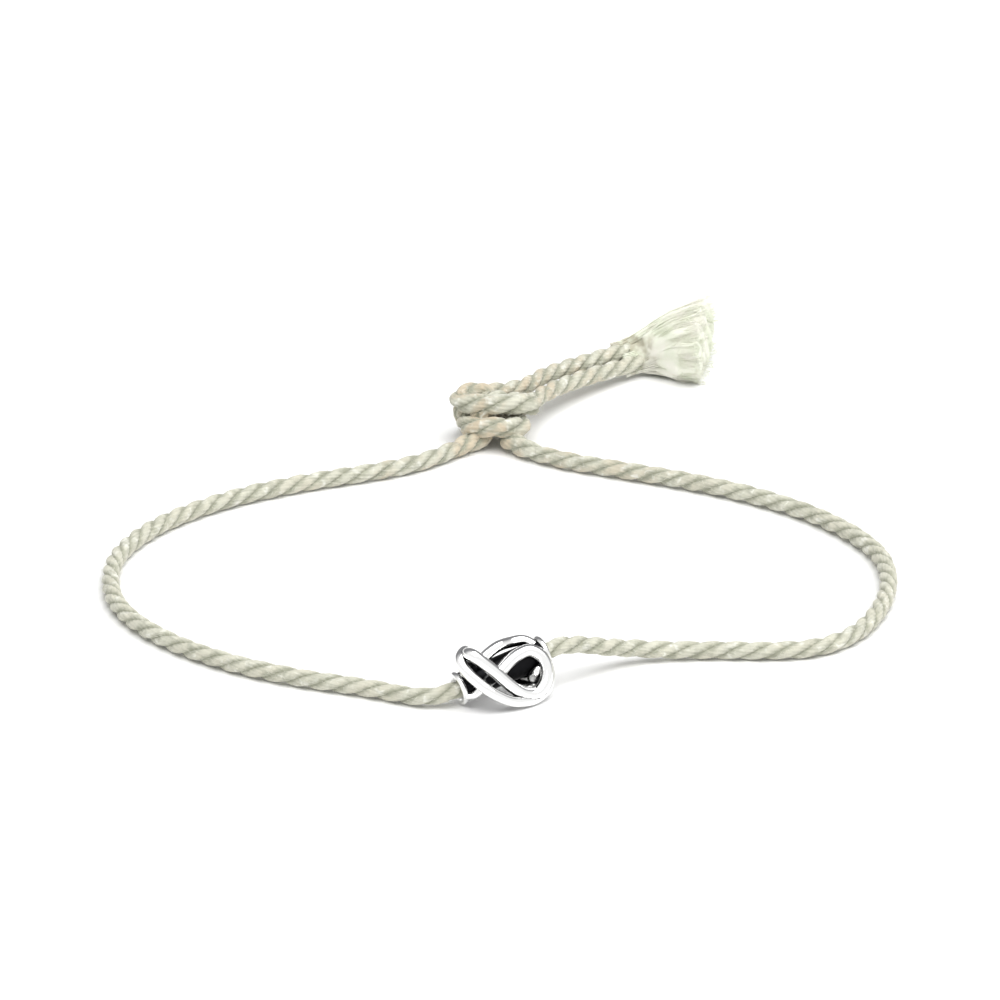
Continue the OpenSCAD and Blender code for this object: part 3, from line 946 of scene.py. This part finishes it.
class BRACELET_OT_tassel(bpy.types.Operator):
    """Makes the frayed ends of the two tails"""

    bl_idname = "bracelet.tassel"
    bl_label = "Frayed tassel"

    def execute(self, context):
        scene = context.scene
        tassel = scene.bracelet_tassel
        brush = Brush(scene)
        chance = random.Random(FRAY_SEED)
        noise.seed_set(FRAY_SEED)
        cotton = loose_material("frayed_cotton", tassel.cotton, tassel.shade, tassel.stain)
        place(scene, "tassel_locks", self.body(brush), [cotton], "fray", "tassel")
        fibres, wisps = [], []
        for lock in brush.locks:
            fibres += [self.fibre(tassel, brush, chance, lock) for _ in range(tassel.fibres)]
            if lock.share == 1:
                wisps += [self.wisp(tassel, brush, chance, lock) for _ in range(tassel.wisps)]
        place(scene, "frayed_tassel", tube_mesh("fibres", fibres), [cotton], "fray")
        place(scene, "tassel_wisps", tube_mesh("wisps", wisps), [cotton], "fray")
        return {"FINISHED"}

    def body(self, brush):
        """The locks and the head that gathers them, fused into one soft body under the fibres."""
        head = brush.root + HEAD_AT * brush.along
        strands = [([end, head], [HEAD_START * brush.cord_r, HEAD_R], 0) for end in brush.tail_ends]
        shares = np.linspace(0, BODY_SHARE, BODY_RINGS)
        radii = BODY_THIN * lock_radius(np.concatenate([[0], shares]))
        for lock in brush.locks:
            line = [brush.at(lock, share, Vector((0, 0))) for share in shares]
            line = np.array([(head + brush.root) / 2, *line])
            line[:, 2] = np.maximum(line[:, 2], radii)
            strands.append((line, radii, 0))
        mesh = tube_mesh("locks", strands, BODY_SIDES)
        holder = bpy.data.objects.new("locks", mesh)
        bpy.context.scene.collection.objects.link(holder)
        fuse = holder.modifiers.new("fuse", "REMESH")
        fuse.mode = "VOXEL"
        fuse.voxel_size = BODY_VOXEL
        soften = holder.modifiers.new("soften", "SMOOTH")
        soften.iterations = BODY_SOFTEN
        graph = bpy.context.evaluated_depsgraph_get()
        fused = bpy.data.meshes.new_from_object(holder.evaluated_get(graph), depsgraph=graph)
        bpy.data.objects.remove(holder)
        bpy.data.meshes.remove(mesh)
        tidy_mesh(fused)
        return fused

    def fibre(self, tassel, brush, chance, lock):
        """A fibre from inside its tail to the cut end of its lock."""
        spot = disc_point(chance)
        spot = spot * (1 - (1 - spot.length) * FIBRE_OUTWARD)
        cut = CUT_AT - CUT_ROUND * spot.length_squared - CUT_WAVER * chance.random()
        start = FIBRE_START * (FIBRE_START_LEAST + chance.random())
        points = [brush.in_tail(lock, spot, -start), brush.in_tail(lock, spot, FIBRE_PAST_TAIL)]
        points += [brush.at(lock, share * cut, spot) for share in FIBRE_AT]
        line = smooth_curve(points, FIBRE_STEPS)
        return self.swayed(line, tassel.fibre_d / 2, chance, spot, FIBRE_SWAY)

    def wisp(self, tassel, brush, chance, lock):
        """A finer fibre that strays out of a lock's outside."""
        spot = disc_point(chance).normalized()
        start = chance.uniform(*WISP_START)
        end = min(start + chance.uniform(*WISP_RUN), 1)
        points = [
            brush.at(lock, start, spot * WISP_OUT[0]),
            brush.at(lock, (start + end) / 2, spot * WISP_OUT[1]),
            brush.at(lock, end, spot * chance.uniform(*WISP_END)),
        ]
        line = smooth_curve(points, FIBRE_STEPS)
        return self.swayed(line, tassel.wisp_d / 2, chance, spot, WISP_SWAY)

    def swayed(self, points, radius, chance, spot, sway):
        """The same fibre, swaying to its sides, and its radius."""
        reach = np.linspace(0, 1, len(points))
        seed = chance.random() * SWAY_STRAY
        x, y = seed + SWAY_APART * spot.x, SWAY_APART * spot.y
        moves = [noise.noise_vector((SWAY_WAVES * step, x, y)) for step in reach]
        points = points + np.array(moves) * reach[:, None] * sway
        points[:, 2] = np.maximum(points[:, 2], radius)
        return points, radius, 0


@dataclass
class Lock:
    """One lock of the fray: its root and end, its share of the full spread and its place round it."""

    root: np.ndarray
    end: np.ndarray
    share: float
    round: Vector


class Brush:
    """The form that the fibres of the fray fill: two tails that merge in a head and part in locks."""

    def __init__(self, scene):
        tassel, self.path = scene.bracelet_tassel, whole_cord(scene)
        self.cord_r = scene.bracelet_cord.cord_d / 2
        self.along = pointing(tassel.heading, tassel.rise)
        self.root = np.array(TASSEL_AT) + (0, 0, self.cord_r)
        self.side = unit(np.cross(self.along, (0, 0, 1)))
        self.up = np.cross(self.side, self.along)
        self.tail_ends = self.path.points[0], self.path.points[-1]
        apart = self.tail_ends[0] - self.tail_ends[1]
        self.pair = unit(apart - self.along * (apart @ self.along))
        self.locks = [
            self.lock(tassel, 2 * math.pi * (k + 0.5) / count, share, short)
            for count, share, short in LOCK_RINGS for k in range(count)
        ]

    def lock(self, tassel, angle, share, short):
        """The lock at an angle round the fray: the front ones are shorter and start further along."""
        across = math.cos(angle) * tassel.spread * self.side + math.sin(angle) * self.up
        spread = share * tassel.radius * across
        slant = share * (CUT_LONG * math.sin(angle) - CUT_SHORT * math.cos(angle))
        start = LOCK_START + share * LOCK_SKEW * math.cos(angle)
        root = self.root + start * self.along + LOCK_START_SPREAD * spread
        end = self.root + (tassel.length - short + slant) * self.along + spread
        return Lock(root, end, share, share * Vector((math.cos(angle), math.sin(angle))))

    def at(self, lock, share, spot):
        """Place of a spot of a lock's section, at a share of the lock's length."""
        middle = lock.root + share * (lock.end - lock.root)
        radius = lock_radius(share)
        middle[2] = max(middle[2], radius)
        return middle + radius * (spot.x * self.side + spot.y * self.up)

    def in_tail(self, lock, spot, distance):
        """Place of a lock's spot in the tail that it comes from, so far past the tail's end."""
        spot = FIBRE_SIDE * lock.round + (1 - FIBRE_SIDE) * spot
        lower = spot.x > 0
        width = math.sqrt(max(WIDTH_LEAST, 1 - spot.y ** 2))
        x = (2 * abs(spot.x) / width - 1) * width * (1 if lower else -1)
        way = -self.path.tangents[0] if lower else self.path.tangents[-1]
        end = self.tail_ends[0] if lower else self.tail_ends[1]
        return end + distance * way + FIBRE_FILL * self.cord_r * (x * self.pair + spot.y * self.up)


def lock_radius(share):
    """Radius of a lock at a share of its length."""
    return np.interp(share, LOCK_AT, LOCK_RADII)


def disc_point(chance):
    """An even random point of a round disc of radius 1."""
    radius, angle = math.sqrt(chance.random()), 2 * math.pi * chance.random()
    return Vector((radius * math.cos(angle), radius * math.sin(angle)))


class BRACELET_OT_fuzz(bpy.types.Operator):
    """Makes the loose fibres that stand out of the cord"""

    bl_idname = "bracelet.fuzz"
    bl_label = "Loose fibres"

    def execute(self, context):
        scene = context.scene
        path = whole_cord(scene)
        marks = path.marks
        self.hairs(scene, path, "loop_fuzz", [(marks[2], marks[3])], LOOP_SEED)
        knotted = [(marks[0], marks[2]), (marks[3], marks[5])]
        self.hairs(scene, path, "knot_fuzz", knotted, KNOT_SEED)
        return {"FINISHED"}

    def hairs(self, scene, path, name, stretches, seed):
        """A piece of all the loose fibres on some stretches of the cord."""
        fuzz, cord = scene.bracelet_fuzz, scene.bracelet_cord
        chance = random.Random(seed)
        lines = []
        for first, last in stretches:
            count = round(fuzz.hairs * (path.along[last] - path.along[first]) / MM)
            lines += [self.hair(path, chance, first, last, fuzz, cord) for _ in range(count)]
        mesh = tube_mesh(name, lines)
        place(scene, name, mesh, [loose_material("loose_cotton", cord.pale, cord.cream)], "cord")

    def hair(self, path, chance, first, last, fuzz, cord):
        """A fibre that stands out of the cord, leans along it one way or the other, and curls."""
        at = chance.randint(first + HAIR_CLEAR, last - HAIR_CLEAR)
        angle = 2 * math.pi * chance.random()
        out = math.cos(angle) * path.sides[at] + math.sin(angle) * path.ups[at]
        around = np.cross(path.tangents[at], out)
        lean = chance.choice((-1, 1)) * (HAIR_LEAN + chance.random()) * path.tangents[at]
        length = fuzz.hair_l * (HAIR_SHORTEST + (1 - HAIR_SHORTEST) * chance.random() ** 2)
        stand = out * (HAIR_OUT + (1 - HAIR_OUT) * chance.random())
        way = unit(stand + lean + around * chance.uniform(-HAIR_ROUND, HAIR_ROUND))
        curl = unit(np.array([chance.uniform(-1, 1) for _ in range(3)])) * length * HAIR_CURL
        root = path.points[at] + out * cord.core_d / 2 * path.swell[at] * HAIR_ROOT
        reach = np.linspace(0, 1, HAIR_POINTS)[:, None]
        points = root + way * length * reach + curl * reach ** 2
        radius = fuzz.hair_d / 2
        points[:, 2] = np.maximum(points[:, 2], radius)
        return points, radius * (1 - HAIR_THINS * reach[:, 0]), 0


def wire_line(rows, diameter):
    """A wire of the charm, which thins towards both its ends."""
    points = smooth_curve([(u, -w, v) for u, v, w in rows], WIRE_STEPS)
    count = len(points)
    from_end = np.minimum(np.arange(count), np.arange(count)[::-1])
    return points, diameter / 2 * np.minimum(1, WIRE_END + WIRE_END_STEP * from_end), 0


def sleeve_mesh(charm, cord):
    """The sleeve with a bead round each end, turned round its axis."""
    bore = cord.cord_d / 2 + charm.bore_clearance
    wall = bore + charm.sleeve_wall
    reach = charm.sleeve_l / 2
    bead_at = (reach - charm.collar_r, wall - COLLAR_SINK)
    bead = [
        (bead_at[0] + charm.collar_r * math.cos(a), bead_at[1] + charm.collar_r * math.sin(a))
        for a in np.radians(np.linspace(*BEAD_ARC, BEAD_POINTS))
    ]
    half = [*[(share * reach, wall) for share in WALL_RINGS], *bead, (reach - BORE_EDGE, bore)]
    profile = [*half, *[(-x, r) for x, r in reversed(half)]]
    bm = bmesh.new()
    verts = [bm.verts.new((x, r, 0)) for x, r in profile]
    for a, b in zip(verts, [*verts[1:], verts[0]]):
        bm.edges.new((a, b))
    bmesh.ops.spin(
        bm, geom=[*bm.verts, *bm.edges], cent=(0, 0, 0), axis=(1, 0, 0), angle=2 * math.pi,
        steps=SLEEVE_SIDES, use_merge=True,
    )
    bmesh.ops.remove_doubles(bm, verts=bm.verts, dist=WELD)
    bmesh.ops.recalc_face_normals(bm, faces=bm.faces)
    mesh = bpy.data.meshes.new("sleeve")
    bm.to_mesh(mesh)
    bm.free()
    return mesh


def store_recess(mesh, ground):
    """Keeps how shut in each vertex is, from rays cast round its normal. The ground is darker."""
    bm = bmesh.new()
    bm.from_mesh(mesh)
    bm.normal_update()
    tree = BVHTree.FromBMesh(bm)
    golden = math.pi * (3 - math.sqrt(5))
    rays = []
    for k in range(RECESS_RAYS):
        height = math.sqrt(1 - (k + 0.5) / RECESS_RAYS)
        flat = math.sqrt(1 - height * height)
        rays.append(Vector((flat * math.cos(golden * k), flat * math.sin(golden * k), height)))
    shut = []
    for vert in bm.verts:
        turn = vert.normal.to_track_quat("Z", "Y")
        start = vert.co + vert.normal * RECESS_START
        hits = sum(tree.ray_cast(start, turn @ ray, RECESS_REACH)[0] is not None for ray in rays)
        shut.append(hits / RECESS_RAYS)
    bm.free()
    store(mesh, "recess", np.array(shut) + GROUND_DARK * ground)


class BRACELET_OT_charm(bpy.types.Operator):
    """Makes the cast silver love knot"""

    bl_idname = "bracelet.charm"
    bl_label = "Love knot"

    def execute(self, context):
        scene = context.scene
        charm, cord = scene.bracelet_charm, scene.bracelet_cord
        wires = tube_mesh("wires", [
            wire_line(INNER_WIRE, charm.inner_wire_d), wire_line(OUTER_WIRE, charm.outer_wire_d)
        ], WIRE_SIDES)
        bm = bmesh.new()
        bm.from_mesh(wires)
        bm.from_mesh(sleeve_mesh(charm, cord))
        for face in bm.faces:
            face.smooth = True
        reach = GROUND_SHARE * charm.sleeve_l / 2
        ground = np.array([
            np.clip(0.5 - vert.co.y / charm.inner_wire_d, 0, 1) * (abs(vert.co.x) < reach)
            for vert in bm.verts
        ])
        ground[:len(wires.vertices)] = 0
        turn = (
            Matrix.Translation(Vector(CHARM_AT) + Vector((0, 0, cord.cord_d / 2)))
            @ Matrix.Rotation(charm.yaw, 4, "Z")
            @ Matrix.Rotation(-charm.rise, 4, "Y")
            @ Matrix.Rotation(-charm.lean, 4, "X")
        )
        bmesh.ops.transform(bm, matrix=turn, verts=bm.verts)
        mesh = bpy.data.meshes.new("silver_love_knot")
        bm.to_mesh(mesh)
        bm.free()
        store_recess(mesh, ground)
        place(scene, "silver_love_knot", mesh, [silver_material(charm)], "silver", "love_knot")
        return {"FINISHED"}


class BRACELET_OT_lengths(bpy.types.Operator):
    """Works out the loop's route at every so many points of the cord, and gives it nowhere"""

    bl_idname = "bracelet.lengths"
    bl_label = "Length of cord"

    def execute(self, context):
        path = whole_cord(context.scene)
        first, last = path.marks[2], path.marks[3]
        route = path.points[first:last + 1:ROUTE_EVERY]
        route = np.vstack([route, path.points[last]])
        return {"FINISHED"}


class BRACELET_PT_panel(bpy.types.Panel):
    """Lists the pieces of the bracelet and their sizes"""

    bl_idname = "BRACELET_PT_panel"
    bl_label = "Friendship bracelet"
    bl_space_type = "VIEW_3D"
    bl_region_type = "UI"
    bl_category = "Bracelet"

    def draw(self, context):
        for operator in OPERATORS:
            self.layout.operator(operator.bl_idname)
        for name, group in SIZES.items():
            box = self.layout.box()
            box.label(text=group.__doc__)
            for prop in group.__annotations__:
                box.prop(getattr(context.scene, name), prop)


OPERATORS = [
    BRACELET_OT_stage,
    BRACELET_OT_loop,
    BRACELET_OT_knot,
    BRACELET_OT_tails,
    BRACELET_OT_tassel,
    BRACELET_OT_fuzz,
    BRACELET_OT_charm,
    BRACELET_OT_lengths,
]


def register():
    """Adds the bracelet's sizes, operators and panel to Blender."""
    for name, group in SIZES.items():
        bpy.utils.register_class(group)
        setattr(bpy.types.Scene, name, bpy.props.PointerProperty(type=group))
    for part in [*OPERATORS, BRACELET_PT_panel]:
        bpy.utils.register_class(part)


def unregister():
    """Takes them out again."""
    for part in [BRACELET_PT_panel, *reversed(OPERATORS)]:
        bpy.utils.unregister_class(part)
    for name, group in reversed(SIZES.items()):
        delattr(bpy.types.Scene, name)
        bpy.utils.unregister_class(group)


def main():
    """Makes the whole bracelet, its floor and lights."""
    register()
    for operator in OPERATORS:
        group, action = operator.bl_idname.split(".")
        getattr(getattr(bpy.ops, group), action)()


if __name__ == "__main__":
    main()
